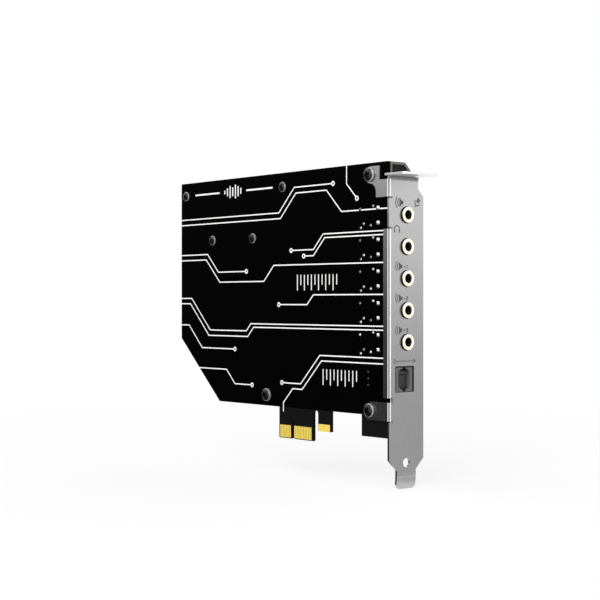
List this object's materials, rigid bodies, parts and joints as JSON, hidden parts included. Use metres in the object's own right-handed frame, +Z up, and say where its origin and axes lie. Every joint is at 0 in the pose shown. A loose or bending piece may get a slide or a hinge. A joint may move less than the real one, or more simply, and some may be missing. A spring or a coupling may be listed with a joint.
{
  "type": "internal computer sound card",
  "caption": "Plug-in sound card with a folded slot bracket, gold-ringed audio jacks, an optical socket with a shutter, and a black board with line print.",
  "frame": {"origin": "centre of the screw notch in the bracket's flange, on the flange's underside, which seats on the computer's frame", "axes": "+X out of the computer through the bracket, +Y from the solder side to the parts side of the board, +Z up from the tongue to the flange, along the flange screw"},
  "size_m": [0.1483, 0.0216, 0.125],
  "materials": {
    "board_black": "black solder mask over a glass-fibre board, satin",
    "white_print": "white screen print",
    "gold_contacts": "gold plating, bright",
    "bracket_steel": "satin nickel on folded sheet steel",
    "solder": "bright solder",
    "screw_steel": "dark nickel on steel",
    "cover_black": "black moulded cover, satin",
    "sleeve_gold": "pale gold plating, bright",
    "tinned_terminals": "tinned copper alloy",
    "jack_plastic": "black moulded nylon",
    "port_plastic": "dark grey moulded plastic",
    "can_metal": "drawn aluminium can",
    "film_red": "red moulded capacitor cases",
    "chip_black": "black moulded chip cases"
  },
  "bodies": {
    "card": {"audio_processor_chip": "chip_black", "board_print": "white_print", "bracket": "bracket_steel", "bracket_nuts": "screw_steel", "bracket_screws": "screw_steel", "bus_interface_chip": "chip_black", "capacitor_bases": "chip_black", "chip_capacitors": "chip_black", "chip_resistors": "chip_black", "circuit_board": "board_black", "clock_crystals": "can_metal", "cover": "cover_black", "cover_screws": "screw_steel", "edge_contacts_parts_side": "gold_contacts", "edge_contacts_solder_side": "gold_contacts", "electrolytic_capacitors": "can_metal", "film_capacitors": "film_red", "firmware_memory_chip": "chip_black", "front_panel_header": "port_plastic", "front_panel_pins": "tinned_terminals", "headphone_amplifier_chip": "chip_black", "input_converter_chip": "chip_black", "jack_1_housing": "jack_plastic", "jack_1_sleeve": "sleeve_gold", "jack_1_terminals": "tinned_terminals", "jack_2_housing": "jack_plastic", "jack_2_sleeve": "sleeve_gold", "jack_2_terminals": "tinned_terminals", "jack_3_housing": "jack_plastic", "jack_3_sleeve": "sleeve_gold", "jack_3_terminals": "tinned_terminals", "jack_4_housing": "jack_plastic", "jack_4_sleeve": "sleeve_gold", "jack_4_terminals": "tinned_terminals", "jack_5_housing": "jack_plastic", "jack_5_sleeve": "sleeve_gold", "jack_5_terminals": "tinned_terminals", "lower_cover_screw": "screw_steel", "muting_relays": "chip_black", "op_amps": "chip_black", "optical_emitter": "chip_black", "optical_port_housing": "port_plastic", "optical_port_leads": "tinned_terminals", "output_converter_chip": "chip_black", "power_inductors": "chip_black", "shutter_pin": "screw_steel", "solder_joints": "solder", "voltage_regulators": "chip_black"},
    "shutter": {"optical_shutter": "port_plastic"}
  },
  "joints": [
    {"name": "shutter_hinge", "type": "hinge", "parent": "card", "child": "shutter", "pos_m": [-0.0081, -0.00283, -0.07476], "axis": [0, 1, 0], "range_deg": [0, 80], "stiffness_Nm_per_rad": 0.0002, "springref_deg": -20.05}
  ]
}
